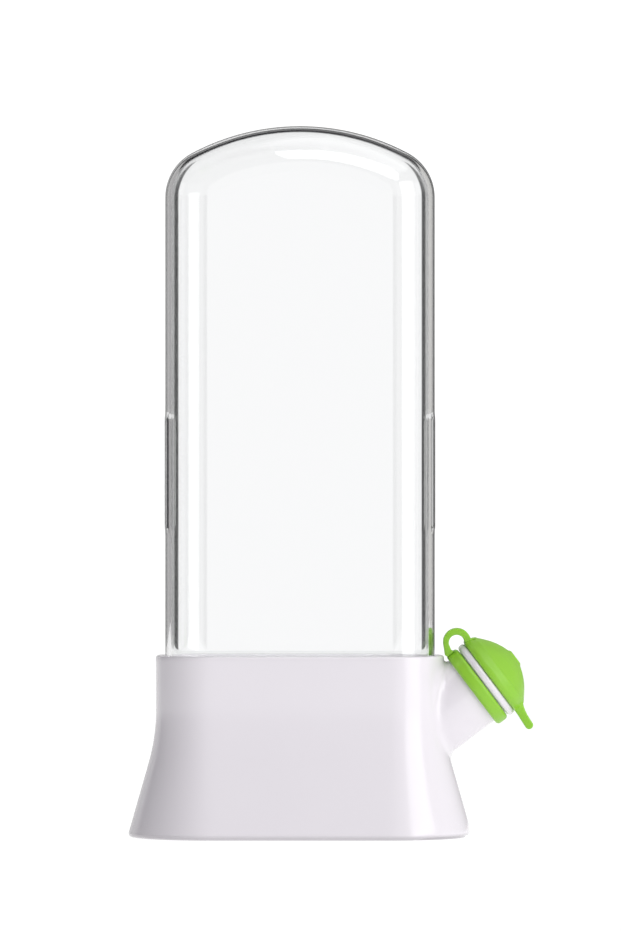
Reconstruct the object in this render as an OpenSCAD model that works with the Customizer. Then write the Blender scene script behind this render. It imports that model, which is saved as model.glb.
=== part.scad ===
// Herb keeper: a clear hood over a flared white water base. A slanted filler spout on one end of the
// base is closed by a soft domed cap on a living hinge. Millimetres, +Z up, the front faces -Y, the
// spout points towards +X, and the origin is the centre of the foot on the surface that it stands on.

/* [Hood] */
// Width of the hood, seen from the front
hood_w = 110; // [90:1:150]
// Depth of the hood, front to back
hood_d = 45; // [43:1:80]
// Overall height, from the foot to the crown of the hood
total_h = 290; // [240:1:340]
// Radius of the rounded edge that joins the hood's front and back
hood_round = 18.5; // [14:0.5:20]
// How much rounder the hood's shoulders are than its edge, seen from the front
shoulder_extra = 2; // [1.5:0.5:6]
// Radius of the crown's shallow arch, seen from the front
crown_r = 94; // [85:1:140]
// Wall thickness of the hood
hood_wall = 2.2; // [1.5:0.1:3]
// Height of the middle of the finger pads above the foot
pad_z = 148.5; // [110:0.5:180]
// Height of each finger pad
pad_h = 50; // [20:1:70]
// Width of each finger pad round the end of the hood
pad_w = 26; // [12:1:34]
// How far a finger pad stands proud of the hood
pad_proud = 0.5; // [0.3:0.1:1.5]

/* [Base] */
// Height of the base's rim above the foot
base_h = 74; // [70:0.5:90]
// Wall thickness of the base
base_wall = 3; // [2:0.1:4]
// Gap between the hood and the inside of the rim
rim_gap = 0.75; // [0.3:0.05:1.5]
// How deep the hood sinks into the rim
rim_depth = 7; // [4:0.5:8]
// Thickness of the ledge that the hood stands on
ledge_t = 2; // [1.5:0.1:2.5]
// How far the ledge reaches inwards past the hood's wall
ledge_lip = 0.6; // [0.2:0.1:1.5]
// Radius of the rim's upper edges
rim_round = 0.9; // [0.3:0.1:1.2]
// Height at which the walls start to flare outwards
flare_start = 52; // [44:0.5:56]
// Radius of the concave curve that leads into the flare
flare_r = 80; // [50:1:100]
// Slope of the flared skirt from the vertical, in degrees
flare_a = 16; // [10:0.5:20]
// Radius of the skirt's lower edge
foot_round = 1.5; // [0.5:0.1:1.8]

/* [Base plate] */
// Thickness of the closing plate in the underside
plate_t = 2.6; // [2:0.1:4]
// Width of the shoulder that the closing plate is seated on
plate_seat = 1; // [0.6:0.1:1.2]
// Gap round the closing plate
plate_gap = 0.1; // [0.05:0.05:0.3]

/* [Spout] */
// Slope of the spout's axis above the horizontal, in degrees
spout_a = 37.1; // [30:0.1:45]
// Distance from the end of the base to the middle of the spout's mouth
spout_out = 18.55; // [18:0.05:26]
// Drop from the rim to the middle of the spout's mouth
spout_drop = 9; // [6:0.5:14]
// Radius of the spout's bore
bore_r = 12.4; // [10:0.1:12.8]
// Wall thickness of the spout's neck
neck_wall = 3; // [2:0.1:3.4]
// How far the flange at the mouth stands out from the neck
flange_out = 2.1; // [1.2:0.1:3]
// Thickness of the flange
flange_t = 3.2; // [2:0.1:4]
// Radius of the flange's edges
flange_round = 1.3; // [0.4:0.1:1.5]

/* [Closure] */
// Gap between the flange and the collar
collar_gap = 0.3; // [0.2:0.1:1]
// Width of the collar along the neck
collar_w = 5.5; // [4:0.1:6]
// Wall thickness of the collar
collar_wall = 2.2; // [1.6:0.1:3]
// Gap between the collar and the neck
collar_fit = 0.05; // [0.02:0.01:0.1]
// Radius of the collar's edges
collar_round = 1; // [0.3:0.1:1.4]
// How far the cap's edge stands out past the flange
cap_out = 0.6; // [0:0.1:2]
// Height of the cap's edge, up to the soft ridge round the dome
cap_edge_h = 5.2; // [4:0.1:6]
// How far the cap draws in from its edge to the ridge
cap_draw = 1.9; // [1:0.1:3]
// Height of the dome above the mouth
dome_h = 13.3; // [9:0.1:16]
// Radius of the small raised disc on the dome
button_r = 3.6; // [2:0.1:5]
// Height of the small raised disc
button_h = 0.3; // [0.2:0.1:1]
// Depth of the cap's plug in the bore
plug_depth = 5; // [3:0.5:7]
// Gap between the plug and the bore
plug_gap = 0.3; // [0.2:0.05:0.5]
// How much narrower the plug's tip is
plug_taper = 0.5; // [0.2:0.1:1]
// Depth of the dish in the plug's tip
dish_depth = 1.6; // [0.5:0.1:2.5]
// Reach of the pull tab from the spout's axis
tab_reach = 27; // [23:0.5:34]
// Width of the pull tab
tab_w = 12; // [8:0.5:16]
// Thickness of the pull tab
tab_t = 3; // [2:0.1:4]
// Distance from the flange's edge to the hinge line
hinge_out = 1.9; // [1.5:0.1:3]
// Depth of the hinge line below the mouth
hinge_drop = 1.8; // [1:0.1:3]
// Outer radius of the hinge loop
loop_r = 5.7; // [5:0.1:6.5]
// Thickness of the hinge loop
loop_t = 2.5; // [1.5:0.1:3]
// Width of the hinge loop
loop_w = 11; // [8:0.5:14]
// Gap between the hinge loop and the cap
loop_gap = 0.3; // [0.2:0.05:0.5]

/* [Stem rack] */
// Gap between the rack's rim and the ledge round it
rack_gap = 0.6; // [0.3:0.1:1.5]
// Thickness of the rack's rim and posts
rack_wall = 1.8; // [1.2:0.1:3]
// Height of the rack's rim
rack_rim_h = 4; // [2:0.5:8]
// Height of the rack's feet under its floor
rack_foot_h = 10; // [5:0.5:16]
// Thickness of the rack's floor
rack_floor_t = 2; // [1.5:0.1:3]
// Thickness of each cross wall
divider_t = 1.8; // [1.2:0.1:3]
// Number of bunches that the rack keeps apart
cell_count = 3; // [2:1:4]
// Width of each water slot in the floor
slot_w = 3; // [2:0.1:4]
// Distance from one water slot to the next
slot_pitch = 6; // [5:0.1:9]
// Length of each water slot
slot_l = 24; // [14:1:28]
// Width of each post
post_w = 6; // [4:0.5:8]
// Distance from the rack's end to the middle of its posts
post_in = 11; // [9:0.5:14]

/* [Hidden] */
$fn = 96;
// A cut runs this far past the face that it opens
past = 1;
// Steps in a rounded edge, and in the long curve of the flare or the dome
edge_steps = 5;
curve_steps = 8;
// Steps in each quarter of the hood's rounded edge, and its flat margin over the hood's sides
hood_steps = 12;
lap = 1;

// Corner centres of the plan, shared by the hood, the base and the rack
plan_x = hood_w / 2 - hood_round;
plan_y = hood_d / 2 - hood_round;

// Heights and radii of the hood
hood_z = base_h - rim_depth;
crown_z = total_h - crown_r;
spine_r = crown_r - hood_round;
shoulder_x = plan_x - shoulder_extra;
shoulder_z = crown_z + sqrt(pow(spine_r - shoulder_extra, 2) - shoulder_x * shoulder_x);
shoulder_a = asin(shoulder_x / (spine_r - shoulder_extra));

// Radii of the base's section, measured from the plan's corner centres
rim_in_r = hood_round + rim_gap;
base_r = rim_in_r + base_wall;
ledge_r = hood_round - hood_wall - ledge_lip;
slope_z = flare_start - flare_r * sin(flare_a);
slope_r = base_r + flare_r * (1 - cos(flare_a));
foot_r = slope_r + slope_z * tan(flare_a);
foot_arc_r = foot_r - foot_round * (1 + sin(flare_a)) / cos(flare_a);
shoulder_r = slope_r + (slope_z - plate_t) * tan(flare_a) - base_wall / cos(flare_a);
plate_r = shoulder_r + plate_seat;

// The spout: the middle of its mouth, and radii and depths along its axis
mouth_x = plan_x + base_r + spout_out;
mouth_z = base_h - spout_drop;
neck_r = bore_r + neck_wall;
flange_r = neck_r + flange_out;
neck_l = (mouth_x - plan_x) / cos(spout_a);
bore_l = (spout_out + base_wall + bore_r * sin(spout_a)) / cos(spout_a) + past;
collar_top = flange_t + collar_gap;
collar_in_r = neck_r + collar_fit;
collar_r = collar_in_r + collar_wall;
cap_r = flange_r + cap_out;
plug_r = bore_r - plug_gap;
hinge_p = flange_r + hinge_out;
ridge_r = cap_r - cap_draw;
dome_h_over_ridge = dome_h - cap_edge_h;
dome_r = (ridge_r * ridge_r + dome_h_over_ridge * dome_h_over_ridge) / (2 * dome_h_over_ridge);
dome_a = acos(ridge_r / dome_r);
button_a = acos(button_r / dome_r);

// The rack's heights and radii
rack_r = ledge_r - rack_gap;
rack_floor_z = plate_t + rack_foot_h;
rack_top_z = hood_z - rack_gap;
post_x = plan_x + rack_r - post_in;
post_y = plan_y + sqrt(rack_r * rack_r - pow(max(0, post_x + post_w / 2 - plan_x), 2)) - rack_wall;
cell_pitch = 2 * (plan_x + rack_r) / cell_count;
slot_count = floor((cell_pitch - divider_t - slot_w) / slot_pitch) + 1;

// Points on an arc from one angle to another, round a centre
function arc(x, y, r, from, to, steps) =
    [for (i = [0:steps]) let (a = from + (to - from) * i / steps) [x + r * cos(a), y + r * sin(a)]];

// Sweeps a section, drawn as distance outwards and height, round the plan
module round_the_plan() {
    for (sx = [0, 1]) {
        for (sy = [0, 1]) {
            mirror([sx, 0, 0]) mirror([0, sy, 0]) translate([plan_x, plan_y, 0])
                rotate_extrude(angle = 90) children();
        }
    }
    for (s = [0, 1]) {
        mirror([0, s, 0]) translate([-plan_x, plan_y, 0])
            rotate([90, 0, 90]) linear_extrude(2 * plan_x) children();
        mirror([s, 0, 0]) translate([plan_x, plan_y, 0])
            rotate([90, 0, 0]) linear_extrude(2 * plan_y) children();
    }
}

// An upright solid with the plan's shape, r out from the corner centres
module plan_block(r, z, h) {
    round_the_plan() translate([0, z]) square([r, h]);
    translate([-plan_x, -plan_y, z]) cube([2 * plan_x, 2 * plan_y, h]);
}

// Stands children along the spout's axis, with zero height at the mouth and +X pointing down
module on_the_spout() {
    translate([mouth_x, 0, mouth_z]) rotate([0, 90 - spout_a, 0]) children();
}

// The hood's rounded edge as a wall of the given thickness, with a flat margin inside its spine
module edge_section(r, wall) {
    polygon(concat(
        [[-lap, -plan_y - r]],
        arc(0, -plan_y, r, -90, 0, hood_steps),
        arc(0, plan_y, r, 0, 90, hood_steps),
        [[-lap, plan_y + r], [-lap, plan_y + r - wall]],
        arc(0, plan_y, r - wall, 90, 0, hood_steps),
        arc(0, -plan_y, r - wall, 0, -90, hood_steps),
        [[-lap, -plan_y - r + wall]]
    ));
}

// One flat side of the hood, which ends within the margin of the rounded edge
module hood_side() {
    inset = lap / 2;
    side_x = plan_x - inset;
    rotate([90, 0, 0]) translate([0, 0, plan_y + hood_round - hood_wall]) linear_extrude(hood_wall)
        polygon(concat(
            [[-side_x, hood_z], [side_x, hood_z]],
            arc(shoulder_x, shoulder_z, shoulder_extra - inset, 0, 90 - shoulder_a, edge_steps),
            arc(0, crown_z, spine_r - inset, 90 - shoulder_a, 90 + shoulder_a, hood_steps),
            arc(-shoulder_x, shoulder_z, shoulder_extra - inset, 90 + shoulder_a, 180, edge_steps)
        ));
}

// The rounded wall that joins the two sides: up both ends, over the shoulders and along the crown
module hood_edge() {
    for (s = [0, 1]) {
        mirror([s, 0, 0]) translate([plan_x, 0, hood_z])
            linear_extrude(shoulder_z - hood_z) edge_section(hood_round, hood_wall);
    }
    rotate([90, 0, 0]) {
        for (s = [0, 1]) {
            mirror([s, 0, 0]) translate([shoulder_x, shoulder_z, 0])
                rotate_extrude(angle = 90 - shoulder_a) translate([shoulder_extra, 0])
                    edge_section(hood_round, hood_wall);
        }
        translate([0, crown_z, 0]) rotate([0, 0, 90 - shoulder_a])
            rotate_extrude(angle = 2 * shoulder_a) translate([spine_r, 0])
                edge_section(hood_round, hood_wall);
    }
}

// Smooth pads on the hood's two ends, where the fingers lift it
module finger_pads() {
    for (s = [0, 1]) {
        mirror([s, 0, 0]) translate([plan_x, 0, pad_z - pad_h / 2]) linear_extrude(pad_h) {
            intersection() {
                edge_section(hood_round + pad_proud, hood_wall);
                translate([0, -pad_w / 2]) square([hood_w, pad_w]);
            }
        }
    }
}

module hood() {
    color([0.9, 0.95, 0.95, 0.3]) {
        hood_edge();
        for (s = [0, 1]) {
            mirror([0, s, 0]) hood_side();
        }
        finger_pads();
    }
}

// Section of the base's wall, with the rim, the ledge, the flare and the rebate for the plate
module base_section() {
    flare_x = base_r + flare_r;
    polygon(concat(
        arc(base_r - rim_round, base_h - rim_round, rim_round, 90, 0, edge_steps),
        arc(flare_x, flare_start, flare_r, 180, 180 + flare_a, curve_steps),
        arc(foot_arc_r, foot_round, foot_round, flare_a, -90, edge_steps),
        [[plate_r, 0], [plate_r, plate_t], [shoulder_r, plate_t]],
        arc(flare_x, flare_start, flare_r + base_wall, 180 + flare_a, 180, curve_steps),
        [[rim_in_r, hood_z - ledge_t], [ledge_r, hood_z - ledge_t], [ledge_r, hood_z], [rim_in_r, hood_z]],
        arc(rim_in_r + rim_round, base_h - rim_round, rim_round, 180, 90, edge_steps)
    ));
}

// The water space inside the base's walls
module tank_space() {
    flare_x = base_r + flare_r;
    round_the_plan() polygon(concat(
        [[0, 0], [shoulder_r + plate_t * tan(flare_a), 0]],
        arc(flare_x, flare_start, flare_r + base_wall, 180 + flare_a, 180, curve_steps),
        [[rim_in_r, base_h + past], [0, base_h + past]]
    ));
    translate([-plan_x, -plan_y, 0]) cube([2 * plan_x, 2 * plan_y, base_h + past]);
}

// The spout's neck and the flange at its mouth, still solid
module spout_body() {
    on_the_spout() {
        translate([0, 0, -neck_l]) cylinder(r = neck_r, h = neck_l - flange_t / 2);
        rotate_extrude() polygon(concat(
            [[0, -flange_t], [neck_r, -flange_t]],
            arc(flange_r - flange_round, flange_round - flange_t, flange_round, -90, 0, edge_steps),
            arc(flange_r - flange_round, -flange_round, flange_round, 0, 90, edge_steps),
            [[0, 0]]
        ));
    }
}

module base_shell() {
    color([0.92, 0.9, 0.93]) difference() {
        union() {
            round_the_plan() base_section();
            difference() {
                spout_body();
                tank_space();
            }
        }
        on_the_spout() translate([0, 0, -bore_l]) cylinder(r = bore_r, h = bore_l + past);
    }
}

module base_plate() {
    color([0.88, 0.86, 0.89]) plan_block(plate_r - plate_gap, 0, plate_t);
}

// Slots through the rack's floor, the same in each cell
module water_slots() {
    for (cell = [0:cell_count - 1]) {
        for (i = [0:slot_count - 1]) {
            x = (cell - (cell_count - 1) / 2) * cell_pitch + (i - (slot_count - 1) / 2) * slot_pitch;
            reach = max(0, abs(x) + slot_w / 2 - plan_x);
            room = 2 * (plan_y + sqrt(max(1, rack_r * rack_r - reach * reach))) - 4 * rack_wall;
            long = min(slot_l, room);
            translate([x - slot_w / 2, -long / 2, rack_floor_z - past])
                cube([slot_w, long, rack_floor_t + 2 * past]);
        }
    }
}

module stem_rack() {
    color([0.93, 0.93, 0.92]) {
        difference() {
            plan_block(rack_r, rack_floor_z, rack_floor_t);
            water_slots();
        }
        round_the_plan() translate([rack_r - rack_wall, rack_top_z - rack_rim_h])
            square([rack_wall, rack_rim_h]);
        for (i = [1:cell_count - 1]) {
            translate([(i - cell_count / 2) * cell_pitch - divider_t / 2, -plan_y - rack_r, rack_floor_z])
                cube([divider_t, 2 * (plan_y + rack_r), rack_top_z - rack_floor_z]);
        }
        for (sx = [0, 1]) {
            for (sy = [0, 1]) {
                mirror([sx, 0, 0]) mirror([0, sy, 0])
                    translate([post_x - post_w / 2, post_y - rack_wall, plate_t])
                        cube([post_w, rack_wall, rack_top_z - plate_t]);
            }
        }
    }
}

module cap_collar() {
    color([0.55, 0.78, 0.18]) on_the_spout() rotate_extrude() polygon(concat(
        [[collar_in_r, -collar_top]],
        arc(collar_r - collar_round, -collar_top - collar_round, collar_round, 90, 0, edge_steps),
        arc(collar_r - collar_round, collar_round - collar_top - collar_w, collar_round, 0, -90, edge_steps),
        [[collar_in_r, -collar_top - collar_w]]
    ));
}

// A loop from the collar round to the cap, cut to meet both
module cap_strap() {
    foot_h = collar_w / 2;
    color([0.55, 0.78, 0.18]) on_the_spout() difference() {
        rotate([90, 0, 0]) linear_extrude(loop_w, center = true) difference() {
            union() {
                translate([-hinge_p, -hinge_drop]) circle(loop_r);
                translate([-hinge_p, -collar_top - collar_w + collar_round])
                    square([hinge_p - collar_r + collar_wall / 2, foot_h]);
            }
            translate([-hinge_p, -hinge_drop]) circle(loop_r - loop_t);
        }
        translate([0, 0, -2 * collar_w - collar_top]) cylinder(r = collar_r, h = 2 * collar_w + collar_top);
        translate([0, 0, -hinge_drop]) cylinder(r = cap_r + loop_gap, h = 2 * loop_r);
    }
}

module spout_cap() {
    color([0.55, 0.78, 0.18]) on_the_spout() {
        rotate_extrude() polygon(concat(
            [[0, dish_depth - plug_depth], [plug_r - plug_taper - 2 * dish_depth, dish_depth - plug_depth]],
            [[plug_r - plug_taper - dish_depth, -plug_depth], [plug_r - plug_taper, -plug_depth], [plug_r, 0]],
            arc(cap_r - collar_round, collar_round, collar_round, -90, 0, edge_steps),
            [[cap_r, cap_edge_h / 2]],
            arc(0, dome_h - dome_r, dome_r, dome_a, button_a, curve_steps),
            [[button_r, dome_h + button_h], [0, dome_h + button_h]]
        ));
        difference() {
            union() {
                translate([0, -tab_w / 2, 0]) cube([tab_reach - tab_w / 2, tab_w, tab_t]);
                translate([tab_reach - tab_w / 2, 0, 0]) cylinder(d = tab_w, h = tab_t);
            }
            translate([0, 0, -past]) cylinder(r = ridge_r - tab_t, h = tab_t + 2 * past);
        }
    }
}

base_shell();
base_plate();
stem_rack();
hood();
cap_collar();
cap_strap();
spout_cap();
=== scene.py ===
import math

import bmesh
import bpy
from mathutils import Matrix, Vector
from mathutils.kdtree import KDTree


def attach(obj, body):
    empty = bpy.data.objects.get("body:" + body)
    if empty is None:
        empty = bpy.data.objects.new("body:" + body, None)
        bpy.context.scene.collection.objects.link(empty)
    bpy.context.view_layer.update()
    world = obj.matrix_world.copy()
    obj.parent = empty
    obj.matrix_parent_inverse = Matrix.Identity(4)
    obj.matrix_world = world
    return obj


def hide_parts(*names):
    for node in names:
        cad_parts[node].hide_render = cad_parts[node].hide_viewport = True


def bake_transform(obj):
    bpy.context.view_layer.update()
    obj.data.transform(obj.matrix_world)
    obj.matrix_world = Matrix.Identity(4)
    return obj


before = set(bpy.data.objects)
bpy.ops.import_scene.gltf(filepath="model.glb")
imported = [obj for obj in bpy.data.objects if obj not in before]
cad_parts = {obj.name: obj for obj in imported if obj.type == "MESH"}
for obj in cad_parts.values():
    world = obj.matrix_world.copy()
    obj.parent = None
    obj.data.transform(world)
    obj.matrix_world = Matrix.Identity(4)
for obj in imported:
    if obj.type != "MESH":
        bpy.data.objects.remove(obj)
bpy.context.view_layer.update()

# ==== The picture ====================================================================
# A level camera in front of the object, a pale floor, a white room and soft studio lights.
# The room is darker in a ring behind the object, which draws the edges of the clear hood.
MM = 0.001
camera_distance = 3.0
lens_per_metre = 94.63
sensor_width = 36
middle = Vector((0.0043, 0, 0.1515))
floor_size = 3
floor_drop = 0.2
scene = bpy.context.scene


class Wire:
    """A shader socket. Arithmetic on it adds Math nodes, and node() adds any other node."""

    def __init__(self, tree, socket=None):
        self.tree = tree
        self.socket = socket

    def node(self, kind, settings=None, values=None, output=0):
        made = self.tree.nodes.new(kind)
        for name, value in (settings or {}).items():
            setattr(made, name, value)
        for name, value in (values or {}).items():
            if isinstance(value, Wire):
                self.tree.links.new(value.socket, made.inputs[name])
            else:
                made.inputs[name].default_value = value
        return Wire(self.tree, made.outputs[output])

    def maths(self, operation, other=0.0):
        return self.node("ShaderNodeMath", {"operation": operation}, {0: self, 1: other})

    def __add__(self, other):
        return self.maths("ADD", other)

    __radd__ = __add__

    def __rsub__(self, other):
        return self.node("ShaderNodeMath", {"operation": "SUBTRACT"}, {0: other, 1: self})

    def __mul__(self, other):
        return self.maths("MULTIPLY", other)

    def __truediv__(self, other):
        return self.maths("DIVIDE", other)

    def span(self, low, high):
        """0 below low, 1 above high and smooth between them. The other way round if low is above high."""
        if low > high:
            return 1 - self.span(high, low)
        limits = {0: self, 1: low, 2: high, 3: 0.0, 4: 1.0}
        return self.node("ShaderNodeMapRange", {"interpolation_type": "SMOOTHSTEP"}, limits)

    def blend(self, low, high):
        """A colour between low and high, by the colour sockets of a Mix node."""
        return self.node("ShaderNodeMix", {"data_type": "RGBA"}, {0: self, 6: low, 7: high}, 2)


def grey(level):
    return (level, level, level, 1)


def new_look(name):
    """A material, its node tree and its shader."""
    look = bpy.data.materials.new(name)
    look.use_nodes = True
    return look, look.node_tree, look.node_tree.nodes["Principled BSDF"]


def new_object(name, mesh):
    made = bpy.data.objects.new(name, mesh)
    scene.collection.objects.link(made)
    return made


def soft_light(name, place, aim, width, height, power):
    box = bpy.data.lights.new(name, "AREA")
    box.shape = "RECTANGLE"
    box.size = width
    box.size_y = height
    box.energy = power
    lamp = new_object(name, box)
    lamp.location = place
    lamp.rotation_euler = (Vector(aim) - Vector(place)).to_track_quat("-Z", "Y").to_euler()
    return lamp


camera = new_object("camera", bpy.data.cameras.new("camera"))
camera.location = (middle.x, -camera_distance, middle.z)
camera.rotation_euler = (math.radians(90), 0, 0)
camera.data.sensor_width = sensor_width
camera.data.lens = lens_per_metre * camera_distance
camera.data.clip_end = 20
scene.camera = camera

scene.view_settings.view_transform = "Standard"
scene.cycles.max_bounces = 24
scene.cycles.transmission_bounces = 24
scene.cycles.caustics_refractive = True
scene.cycles.blur_glossy = 0.5
scene.cycles.sample_clamp_indirect = 6

# Camera rays see plain white. Rays through the hood see the backdrop if they go nearly straight
# on, dark or grey cards if the hood's edges bend them, and an even light grey if they come from a
# matt surface. Reflections see the walls and, towards the back, strips of two greys. Light that
# falls straight on a matt surface comes from the walls.
room = bpy.data.worlds.new("white_room")
room.use_nodes = True
scene.world = room
sky = Wire(room.node_tree)
direction = sky.node("ShaderNodeTexCoord", output="Generated")
sideways = direction.node("ShaderNodeSeparateXYZ", None, {0: direction}, "X")
away = direction.node("ShaderNodeSeparateXYZ", None, {0: direction}, "Y")
upwards = direction.node("ShaderNodeSeparateXYZ", None, {0: direction}, "Z")
across = (1 - upwards * upwards).maths("MAXIMUM", 0.0001).maths("SQRT")
facing = sideways.maths("ABSOLUTE").maths("MAXIMUM", away.maths("ABSOLUTE")) / across
low_enough = upwards.span(0.44, 0.40)
backdrop = facing.span(0.980, 0.987) * low_enough
dark_ring = facing.span(0.925, 0.940) * low_enough
dark_above = upwards.span(0.42, 0.46) * upwards.span(0.80, 0.74)
black_card = dark_ring.maths("MAXIMUM", dark_above)
grey_card = sideways.span(-0.6, 0.6).blend((0.43, 0.42, 0.425, 1), (0.62, 0.61, 0.60, 1))
cards = black_card.blend(grey_card, (0.004, 0.004, 0.006, 1))
cards = backdrop.blend(cards, (1.0, 0.985, 1.0, 1))
room_walls = sideways.span(-0.9, 0.9).blend((0.06, 0.06, 0.065, 1), grey(0.60))
strips = sideways.span(-0.3, 0.3).blend(grey(0.75), grey(0.38))
glints = away.span(0.56, 0.70).blend(room_walls, strips)
seen = sky.node("ShaderNodeLightPath", output="Is Camera Ray")
glossy = sky.node("ShaderNodeLightPath", output="Is Glossy Ray")
clear = sky.node("ShaderNodeLightPath", output="Is Transmission Ray")
lit = sky.node("ShaderNodeLightPath", output="Diffuse Depth").span(0.2, 0.8)
shown = clear.blend(glossy.blend(room_walls, glints), lit.blend(cards, grey(0.9)))
shown = seen.blend(shown, grey(1.12))
room.node_tree.links.new(shown.socket, room.node_tree.nodes["Background"].inputs["Color"])

# The floor is a little greyer through the hood, so that the hood shows from above
floor_look, tree, surface = new_look("pale_floor")
surface.inputs["Base Color"].default_value = grey(0.07)
surface.inputs["Roughness"].default_value = 0.9
surface.inputs["Emission Strength"].default_value = 0.97
below = Wire(tree)
direct = below.node("ShaderNodeLightPath", output="Diffuse Depth").span(0.8, 0.2)
through = below.node("ShaderNodeLightPath", output="Is Transmission Ray") * direct
pale = through.blend(grey(1), (0.85, 0.84, 0.85, 1))
tree.links.new(pale.socket, surface.inputs["Emission Color"])
bm = bmesh.new()
bmesh.ops.create_grid(bm, x_segments=8, y_segments=8, size=floor_size)
bmesh.ops.translate(bm, verts=bm.verts, vec=(0, 0, -floor_drop * MM))
floor_mesh = bpy.data.meshes.new("floor")
bm.to_mesh(floor_mesh)
bm.free()
floor_mesh.materials.append(floor_look)
new_object("floor", floor_mesh)

soft_light("right_light", (0.95, -0.75, 0.35), middle, 0.75, 1.1, 6)
soft_light("front_light", (0.35, -1.25, 1.55), middle, 1.0, 0.7, 9.0)
back_light = soft_light("back_light", (-0.35, 1.5, 1.15), middle, 1.0, 0.7, 5.5)
back_light.visible_glossy = False
back_light.visible_transmission = False
soft_light("top_light", (0.3, -0.2, 1.5), middle, 1.0, 1.0, 2)

# ==== Base shell =====================================================================
# The white water base, one glossy injection moulding: a straight rim with a ledge for the hood,
# a skirt that flares outwards, and a slanted filler neck with a flange at its mouth.
plan_x = 36.5
plan_y = 4.0
base_h = 74.0
base_r = 22.25
rim_in_r = 19.25
rim_round = 0.9
ledge_r = 15.7
ledge_z = 67.0
ledge_t = 2.0
base_wall = 3.0
flare_start = 52.0
flare_r = 80.0
flare_a = 16.0
foot_round = 1.5
plate_t = 2.6
shoulder_r = 30.07
plate_seat = 31.07
row_step = 1.3
corner_steps = 28
spout_tilt = 52.9
mouth = Vector((77.3, 0, 65))
bore_r = 12.4
neck_r = 15.4
neck_l = 51.1
flange_r = 17.5
flange_t = 3.2
flange_round = 1.3
root_depth = 1.2
bore_depth = 40
tool_over = 3
tank_low = -2
tank_high = 80
tank_spread = 0.75
melt_reaches = (4.6, 4.2, 3.8, 3.4, 3.0, 2.6, 2.2)
melt_passes = 4
melt_top = 72
crease_turn = -0.3
crease_start_x = 50
under_flange = -(flange_t + 1.5)
under_rim = 66
rim_reach = Vector((1.5, 0, 1))


def arc(x, z, radius, start, end, steps):
    """Points on an arc, in degrees anticlockwise from +X."""
    turns = [math.radians(start + (end - start) * i / steps) for i in range(steps + 1)]
    return [(x + radius * math.cos(t), z + radius * math.sin(t)) for t in turns]


def finely(points, step, closed=True):
    """The outline with its long edges cut into rows."""
    rows = []
    for (x0, z0), (x1, z1) in zip(points, points[1:] + points[:1] if closed else points[1:]):
        cuts = max(1, round(math.hypot(x1 - x0, z1 - z0) / step))
        rows += [(x0 + (x1 - x0) * i / cuts, z0 + (z1 - z0) * i / cuts) for i in range(cuts)]
    return rows if closed else rows + points[-1:]


def outline_edges(bm, points, closed=True):
    verts = [bm.verts.new(Vector(p) * MM) for p in points]
    ends = verts[1:] + verts[:1] if closed else verts[1:]
    return verts, [bm.edges.new(pair) for pair in zip(verts, ends)]


def pull(bm, edges, vec, steps=1):
    """Extrudes edges along a vector in millimetres and gives the far edges."""
    for _ in range(steps):
        made = bmesh.ops.extrude_edge_only(bm, edges=edges)["geom"]
        verts = {v for v in made if isinstance(v, bmesh.types.BMVert)}
        bmesh.ops.translate(bm, verts=list(verts), vec=Vector(vec) * MM / steps)
        edges = [e for e in made if isinstance(e, bmesh.types.BMEdge) and set(e.verts) <= verts]
    return edges


def mirrored(bm, *axes):
    for axis in axes:
        everything = bm.verts[:] + bm.edges[:] + bm.faces[:]
        bmesh.ops.mirror(bm, geom=everything, axis=axis, merge_dist=1e-6)
    bmesh.ops.remove_doubles(bm, verts=bm.verts, dist=1e-6)
    bmesh.ops.recalc_face_normals(bm, faces=bm.faces)


def round_the_plan(bm, section, closed=True):
    """Takes a section, drawn outwards from the corner centres, round the whole plan."""
    place = [(plan_x + r, plan_y, z) for r, z in section]
    start = outline_edges(bm, place, closed)[1]
    turned = bmesh.ops.spin(
        bm, geom=start, cent=Vector((plan_x, plan_y, 0)) * MM, axis=(0, 0, 1),
        angle=math.radians(90), steps=corner_steps, use_duplicate=False,
    )["geom_last"]
    end = [e for e in turned if isinstance(e, bmesh.types.BMEdge)]
    pull(bm, start, (0, -plan_y, 0), 2)
    pull(bm, end, (-plan_x, 0, 0), 18)
    mirrored(bm, "X", "Y")


def spun(bm, outline, steps):
    """Turns an outline, whose ends lie on the axis, once round Z."""
    edges = outline_edges(bm, [(r, 0, z) for r, z in outline], closed=False)[1]
    bmesh.ops.spin(
        bm, geom=edges, cent=(0, 0, 0), axis=(0, 0, 1),
        angle=math.radians(360), steps=steps, use_merge=True, use_duplicate=False,
    )
    bmesh.ops.remove_doubles(bm, verts=bm.verts, dist=1e-6)
    bmesh.ops.recalc_face_normals(bm, faces=bm.faces)


on_the_spout = Matrix.Translation(mouth * MM) @ Matrix.Rotation(math.radians(spout_tilt), 4, "Y")


def finished(name, bm, sharp=35):
    """Makes the mesh an object with smooth faces and sharp edges past an angle."""
    mesh = bpy.data.meshes.new(name)
    bm.to_mesh(mesh)
    bm.free()
    mesh.polygons.foreach_set("use_smooth", [True] * len(mesh.polygons))
    mesh.set_sharp_from_angle(angle=math.radians(sharp))
    return new_object(name, mesh)


def with_modifiers(piece):
    """The piece's mesh with its modifiers applied, as a bmesh, and the piece removed."""
    bpy.context.view_layer.update()
    bm = bmesh.new()
    bm.from_object(piece, bpy.context.evaluated_depsgraph_get())
    bpy.data.objects.remove(piece)
    return bm


def joined(first, *others):
    """first with each (operation, tool) worked on it in turn, as a bmesh."""
    for operation, tool in others:
        step = first.modifiers.new(operation, "BOOLEAN")
        step.operation = operation
        step.solver = "EXACT"
        step.object = tool
    bm = with_modifiers(first)
    for _, tool in others:
        bpy.data.objects.remove(tool)
    bmesh.ops.remove_doubles(bm, verts=bm.verts, dist=2e-6)
    return bm


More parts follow.
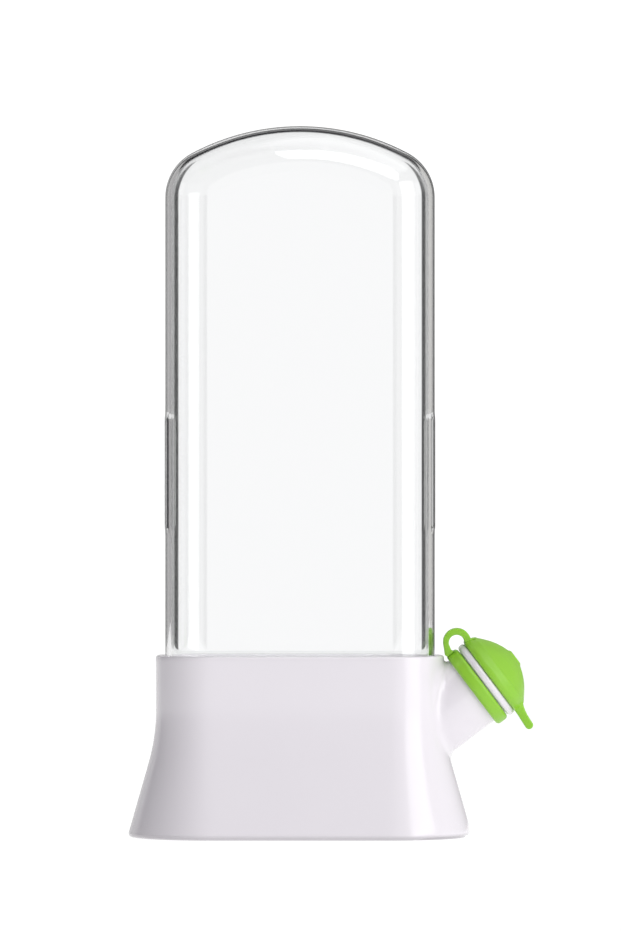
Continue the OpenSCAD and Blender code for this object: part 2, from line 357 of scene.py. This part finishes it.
def melt(bm, verts, passes):
    for _ in range(passes):
        bmesh.ops.smooth_vert(bm, verts=verts, factor=0.5, use_axis_x=True, use_axis_y=True, use_axis_z=True)


flare_x = base_r + flare_r
slope_z = flare_start - flare_r * math.sin(math.radians(flare_a))
slope_r = base_r + flare_r * (1 - math.cos(math.radians(flare_a)))
foot_r = slope_r + slope_z * math.tan(math.radians(flare_a))
foot_arc_r = foot_r - foot_round * (1 + math.sin(math.radians(flare_a))) / math.cos(math.radians(flare_a))
outer_wall = (
    arc(base_r - rim_round, base_h - rim_round, rim_round, 90, 0, 5)
    + arc(flare_x, flare_start, flare_r, 180, 180 + flare_a, 14)
    + arc(foot_arc_r, foot_round, foot_round, flare_a, -90, 5)
)
inner_wall = arc(flare_x, flare_start, flare_r + base_wall, 180 + flare_a, 180, 14)
section = (
    outer_wall
    + [(plate_seat, 0), (plate_seat, plate_t), (shoulder_r, plate_t)]
    + inner_wall
    + [(rim_in_r, ledge_z - ledge_t), (ledge_r, ledge_z - ledge_t), (ledge_r, ledge_z), (rim_in_r, ledge_z)]
    + arc(rim_in_r + rim_round, base_h - rim_round, rim_round, 180, 90, 5)
)
bm = bmesh.new()
round_the_plan(bm, finely(section, row_step))
walls = finished("walls", bm)

# The neck's root is cut to end within the wall before it joins it, and the bore goes through both
neck_outline = (
    [(0, -neck_l), (neck_r, -neck_l), (neck_r, -flange_t)]
    + arc(flange_r - flange_round, flange_round - flange_t, flange_round, -90, 0, 6)
    + arc(flange_r - flange_round, -flange_round, flange_round, 0, 90, 6)
    + [(0, 0)]
)
bm = bmesh.new()
spun(bm, finely(neck_outline, row_step, closed=False), 96)
bmesh.ops.transform(bm, matrix=on_the_spout, verts=bm.verts)
neck = finished("neck", bm)
bm = bmesh.new()
tank_wall = [(shoulder_r + tank_spread, tank_low)] + inner_wall + [(rim_in_r, tank_high)]
tank_wall = [(r + root_depth, z) for r, z in tank_wall]
round_the_plan(bm, tank_wall, closed=False)
bmesh.ops.holes_fill(bm, edges=bm.edges, sides=0)
bmesh.ops.recalc_face_normals(bm, faces=bm.faces)
tank = finished("tank", bm)
bm = bmesh.new()
spun(bm, [(0, -bore_depth), (bore_r, -bore_depth), (bore_r, tool_over), (0, tool_over)], 96)
bmesh.ops.transform(bm, matrix=on_the_spout, verts=bm.verts)
bore = finished("bore", bm)
bm = joined(neck, ("DIFFERENCE", tank))
neck = finished("neck", bm)
bm = joined(walls, ("UNION", neck), ("DIFFERENCE", bore))

# The crease between the neck and the wall melts into a fillet, wide passes first. It reaches a
# little further out at the top, under the rim.
crease = [
    v.co.copy() for e in bm.edges
    if len(e.link_faces) == 2 and e.calc_face_angle_signed(0) < crease_turn
    and e.verts[0].co.x > crease_start_x * MM
    and (on_the_spout.inverted() @ e.verts[0].co).z < under_flange * MM
    for v in e.verts
]
crease += [point + rim_reach * MM for point in crease if point.z > under_rim * MM]
near = KDTree(len(crease))
for index, point in enumerate(crease):
    near.insert(point, index)
near.balance()
for reach in melt_reaches:
    around = [v for v in bm.verts if near.find(v.co)[2] < reach * MM and v.co.z < melt_top * MM]
    melt(bm, around, melt_passes)
base_shell = finished("base_shell_body", bm)
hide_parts("base_shell")
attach(base_shell, "base")


def grainy(name):
    """A new look, with a Wire that carries Object coordinates."""
    look, tree, surface = new_look(name)
    return look, tree, surface, Wire(tree).node("ShaderNodeTexCoord", output="Object")


def noise(place, scale, detail=3.0, roughness=0.5):
    """Noise with features about 1 / scale metres across."""
    values = {"Vector": place, "Scale": scale, "Detail": detail, "Roughness": roughness}
    return place.node("ShaderNodeTexNoise", None, values)


def stretched(place, scale):
    return place.node("ShaderNodeMapping", None, {"Vector": place, "Scale": scale})


def put(tree, surface, **links):
    """Sets the shader's sockets, named with _ for a space, to a value or links a Wire."""
    for name, value in links.items():
        socket = surface.inputs[name.replace("_", " ")]
        if isinstance(value, Wire):
            tree.links.new(value.socket, socket)
        else:
            socket.default_value = value


def bumped(height, depth, strength=1.0, under=None):
    """A bump of that depth in metres, on top of another where one is given."""
    values = {"Strength": strength, "Distance": depth, "Height": height}
    if under:
        values["Normal"] = under
    return height.node("ShaderNodeBump", None, values)


white_gloss, tree, surface, place = grainy("white_gloss")
cloud = noise(place, 28)
swirl = noise(place, 170, 2)
scuffs = noise(stretched(place, (60, 60, 900)), 6, 4, 0.6)
low = place.node("ShaderNodeSeparateXYZ", None, {0: place}, "Z")
worn = scuffs.span(0.56, 0.70) * low.span(0.010, 0.001)
tint = cloud.blend((0.80, 0.765, 0.815, 1), (0.82, 0.785, 0.832, 1))
tint = (worn * 0.35).blend(tint, (0.62, 0.61, 0.62, 1))
# Painted shade: the base colour darkens along the bottom 2.4 mm of the foot, where contact shade falls next
# to the floor
tint = low.span(0.0024, 0.0008).blend(tint, (0.56, 0.535, 0.57, 1))
put(
    tree, surface, Base_Color=tint, Roughness=0.17 + swirl * 0.07 + worn * 0.3,
    Normal=bumped(swirl, 0.00006, 0.25), IOR=1.52, Coat_Weight=0.35, Coat_Roughness=0.14,
)
base_shell.data.materials.append(white_gloss)

# ==== Base plate =====================================================================
# The flat closing plate in the underside, a white moulding that is seated on a shoulder of the
# skirt, flush with the foot, and welded there. Its rim has a fine broken edge.


def softened(bm, width, segments=2, angle=40):
    """Bevels the edges that are sharper than an angle."""
    edges = [e for e in bm.edges if len(e.link_faces) == 2 and e.calc_face_angle(0) > math.radians(angle)]
    bmesh.ops.bevel(
        bm, geom=edges, offset=width * MM, affect="EDGES", segments=segments,
        profile=0.5, material=-1, clamp_overlap=True,
    )


def bevelled_copy(name, node, width):
    """A copy of a CAD node with its doubles merged, its flat faces joined and its edges broken."""
    bm = bmesh.new()
    bm.from_mesh(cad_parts[node].data)
    bmesh.ops.remove_doubles(bm, verts=bm.verts, dist=1e-6)
    bmesh.ops.dissolve_limit(bm, angle_limit=math.radians(0.5), verts=bm.verts, edges=bm.edges)
    softened(bm, width)
    piece = finished(name, bm)
    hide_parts(node)
    return piece


base_plate = bevelled_copy("closing_plate", "base_plate", 0.25)
base_plate.data.materials.append(white_gloss)
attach(base_plate, "base")

# ==== Stem rack ======================================================================
# The loose rack that keeps three bunches apart: one satin moulding of a slotted floor, two cross
# walls, a rim and four posts that stand on the closing plate.
rack = bevelled_copy("rack", "stem_rack", 0.3)
white_satin, tree, surface, place = grainy("white_satin")
fine = noise(place, 1400, 2)
cloud = noise(place, 40)
put(
    tree, surface, Base_Color=cloud.blend((0.80, 0.80, 0.785, 1), (0.83, 0.83, 0.82, 1)),
    Roughness=0.40 + cloud * 0.12, Normal=bumped(fine, 0.00004, 0.5),
)
rack.data.materials.append(white_satin)
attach(rack, "rack")

# ==== Hood ===========================================================================
# The clear cover, one moulding with a wall of 2.2 mm: two flat sides joined by one rounded edge
# that runs up the ends and over the arched crown, and a slightly raised finger pad on each end.
hood_round = 18.5
hood_wall = 2.2
crown_z = 196.0
spine_r = 75.5
shoulder_extra = 2.0
shoulder_x = 34.5
shoulder_z = crown_z + math.sqrt((spine_r - shoulder_extra) ** 2 - shoulder_x ** 2)
shoulder_turn = 90 - math.degrees(math.asin(shoulder_x / (spine_r - shoulder_extra)))
pad_low = 123.5
pad_high = 173.5
pad_half = 13.0
side_inset = 1.5
pad_slopes = ((1.2, 0.05), (1.2, 0.13), (1.2, 0.07))


def far_edges(made):
    return [e for e in made["geom_last"] if isinstance(e, bmesh.types.BMEdge)]


bm = bmesh.new()
quarter = arc(plan_x, plan_y, hood_round, 0, 90, 20)
rounded = [(x, y, ledge_z) for x, y in quarter]
rounded = [(x, -y, z) for x, y, z in reversed(rounded)] + [(plan_x + hood_round, 0, ledge_z)] + rounded
edges = outline_edges(bm, rounded, closed=False)[1]
for rise, steps in ((pad_low - ledge_z, 12), (pad_high - pad_low, 12), (shoulder_z - pad_high, 20)):
    edges = pull(bm, edges, (0, 0, rise), steps)
edges = far_edges(bmesh.ops.spin(
    bm, geom=edges, cent=Vector((shoulder_x, 0, shoulder_z)) * MM, axis=(0, -1, 0),
    angle=math.radians(shoulder_turn), steps=16, use_duplicate=False,
))
bmesh.ops.spin(
    bm, geom=edges, cent=Vector((0, 0, crown_z)) * MM, axis=(0, -1, 0),
    angle=math.radians(90 - shoulder_turn), steps=16, use_duplicate=False,
)
bmesh.ops.remove_doubles(bm, verts=bm.verts, dist=1e-6)
mirrored(bm, "X")
flat = hood_round + plan_y
for side in (-1, 1):
    rim = [
        e for e in bm.edges
        if e.is_boundary and all(abs(v.co.y - side * flat * MM) < 1e-6 for v in e.verts)
    ]
    low = [v for v in {v for e in rim for v in e.verts} if abs(v.co.z - ledge_z * MM) < 1e-6]
    rim.append(bm.edges.new(sorted(low, key=lambda v: v.co.x)))
    side_face = bmesh.ops.contextual_create(bm, geom=rim)["faces"]
    bmesh.ops.inset_region(bm, faces=side_face, thickness=side_inset * MM, use_even_offset=True)
bmesh.ops.recalc_face_normals(bm, faces=bm.faces)
hood = finished("hood_cover", bm, 60)
wall = hood.modifiers.new("wall", "SOLIDIFY")
wall.thickness = hood_wall * MM
wall.offset = -1
wall.use_even_offset = False
wall.use_quality_normals = True
bm = with_modifiers(hood)
for side in (-1, 1):
    pad = [
        f for f in bm.faces
        if abs(f.calc_center_median().y) < pad_half * MM
        and pad_low * MM < f.calc_center_median().z < pad_high * MM
        and side * f.normal.x > 0.3 and side * f.calc_center_median().x > plan_x * MM
    ]
    for width, rise in pad_slopes:
        bmesh.ops.inset_region(bm, faces=pad, thickness=width * MM, depth=rise * MM, use_even_offset=True)
hood = finished("hood_cover", bm, 60)
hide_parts("hood")

clear_plastic, tree, surface, place = grainy("clear_plastic")
cloud = noise(place, 22, 2)
hair = noise(stretched(place, (900, 900, 40)), 3, 3, 0.6)
marks = hair.span(0.66, 0.74)
put(
    tree, surface, Base_Color=(0.985, 0.995, 0.99, 1), Roughness=0.008 + marks * 0.05,
    Normal=bumped(cloud, 0.0003, 0.04), Transmission_Weight=1.0, IOR=1.5,
)
hood.data.materials.append(clear_plastic)
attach(hood, "hood")
hood.visible_shadow = False

# ==== Cap collar =====================================================================
# The ring of soft green silicone that grips the neck under the flange. It is moulded in one with
# the strap and the cap, and stretched over the flange by hand.
collar_in_r = 15.45
collar_r = 17.65
collar_top = 3.5
collar_w = 5.5
collar_round = 1.6
collar_edge = 0.3
collar_step = 0.8

green_silicone, tree, surface, place = grainy("green_silicone")
cloud = noise(place, 55)
fine = noise(place, 1900, 2)
soft = noise(place, 260, 2)
put(
    tree, surface, Base_Color=cloud.blend((0.25, 0.55, 0.030, 1), (0.29, 0.60, 0.040, 1)),
    Roughness=0.32 + soft * 0.14,
    Normal=bumped(fine, 0.00005, 0.45, bumped(soft, 0.0002, 0.12)),
    Subsurface_Weight=0.12, Subsurface_Scale=0.003, Subsurface_Radius=(0.6, 1.0, 0.2),
)

bm = bmesh.new()
collar_low = -collar_top - collar_w
ring = finely(
    [(collar_in_r, -collar_top - collar_edge), (collar_in_r + collar_edge, -collar_top)]
    + arc(collar_r - collar_round, -collar_top - collar_round, collar_round, 90, 0, 8)
    + arc(collar_r - collar_round, collar_low + collar_round, collar_round, 0, -90, 8)
    + [(collar_in_r + collar_edge, collar_low), (collar_in_r, collar_low + collar_edge)],
    collar_step,
)
edges = outline_edges(bm, [(r, 0, z) for r, z in ring])[1]
bmesh.ops.spin(
    bm, geom=edges, cent=(0, 0, 0), axis=(0, 0, 1), angle=math.radians(360), steps=128,
    use_merge=True, use_duplicate=False,
)
bmesh.ops.remove_doubles(bm, verts=bm.verts, dist=1e-6)
bmesh.ops.recalc_face_normals(bm, faces=bm.faces)
bmesh.ops.transform(bm, matrix=on_the_spout, verts=bm.verts)
collar = finished("collar", bm)
collar.data.materials.append(green_silicone)
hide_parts("cap_collar")
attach(collar, "base")

# ==== Cap strap ======================================================================
# The living hinge between collar and cap, a loop of the same silicone. It springs from the
# collar, swings out round an open eye and runs into the edge of the cap.
loop_w = 11.0
loop_r = 5.7
loop_t = 2.5
hinge_p = 19.4
hinge_drop = 1.8
loop_shift = 0.3
loop_edge = 0.9


def slab(bm, outline, width, edge):
    """Extrudes a closed outline to both sides of the XZ plane and rounds its two rims."""
    verts = [bm.verts.new(Vector((x, -width / 2, z)) * MM) for x, z in outline]
    face = bm.faces.new(verts)
    made = bmesh.ops.extrude_face_region(bm, geom=[face])["geom"]
    top = [v for v in made if isinstance(v, bmesh.types.BMVert)]
    bmesh.ops.translate(bm, verts=top, vec=(0, width * MM, 0))
    bmesh.ops.recalc_face_normals(bm, faces=bm.faces)
    rims = [e for e in bm.edges if e.verts[0].co.y * e.verts[1].co.y > 0]
    bmesh.ops.bevel(
        bm, geom=rims, offset=edge * MM, affect="EDGES", segments=4, profile=0.5, material=-1,
        clamp_overlap=True,
    )


loop_outer = arc(-hinge_p, -hinge_drop, loop_r, 68, 245, 36)
loop_inner = arc(-hinge_p, -hinge_drop - loop_shift, loop_r - loop_t, 245, 62, 36)
foot_end = [(-18.2, -8.9), (-17.0, -8.6), (-17.0, -5.0), (-18.3, -5.6)]
head_end = [(-16.4, 1.2), (-16.2, 5.0), (-16.9, 4.5), (-17.0, 3.9)]
bm = bmesh.new()
slab(bm, loop_outer + foot_end + loop_inner + head_end, loop_w, loop_edge)
bmesh.ops.transform(bm, matrix=on_the_spout, verts=bm.verts)
strap = finished("strap", bm, 50)
strap.data.materials.append(green_silicone)
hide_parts("cap_strap")

# ==== Spout cap ======================================================================
# The domed silicone cap with a soft ridge round it, a small flat disc on top, a plug that grips
# the bore and a pull tab below. A fine remesh melts the tab and the dome into one.
cap_r = 18.1
cap_edge_h = 5.2
dome_h = 13.3
button_r = 3.6
button_h = 0.3
plug_r = 12.1
plug_depth = 5.0
dish_depth = 1.6
tab_reach = 27.0
tab_w = 12.0
tab_edge = 0.4
voxel = 0.36
bm = bmesh.new()
ridge = [(cap_r - 1.35, cap_edge_h - 0.4), (cap_r - 1.4, cap_edge_h + 0.05), (15.7, 5.9), (14.4, 7.05)]
dome_side = [(12.8, 8.35), (11.2, 9.55), (9.0, 10.85), (6.8, 11.9), (5.2, 12.5), (3.9, 12.9)]
cap_outline = (
    [(0, dish_depth - plug_depth), (8.0, dish_depth - plug_depth), (10.2, -plug_depth), (11.6, -plug_depth)]
    + [(plug_r, 0)]
    + arc(cap_r - 1, 1, 1, -90, 0, 6)
    + [(cap_r - 0.15, cap_edge_h / 2)]
    + ridge
    + dome_side
    + [(button_r, dome_h + button_h - 0.3), (button_r - 0.3, dome_h + button_h), (0, dome_h + button_h)]
)
spun(bm, cap_outline, 96)
dome = finished("dome", bm)
bm = bmesh.new()
tab_outline = (
    [(9.5, 0.2), (9.5, 4.9), (16.2, 4.9), (17.6, 4.2), (19.2, 3.65), (21.5, 3.2), (24.0, 2.95)]
    + arc(tab_reach - 1.75, 1.2, 1.7, 80, -100, 10)
    + [(22.0, -0.2), (19.0, 0.05)]
)
slab(bm, tab_outline, tab_w, tab_edge)
tab = finished("tab", bm)
bm = joined(dome, ("UNION", tab))
cap = finished("cap", bm)
remesh = cap.modifiers.new("remesh", "REMESH")
remesh.mode = "VOXEL"
remesh.voxel_size = voxel * MM
bm = with_modifiers(cap)
melt(bm, bm.verts, 2)
bmesh.ops.transform(bm, matrix=on_the_spout, verts=bm.verts)
cap = finished("cap", bm, 180)
cap.data.materials.append(green_silicone)
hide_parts("spout_cap")
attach(cap, "cap")
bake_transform(strap)
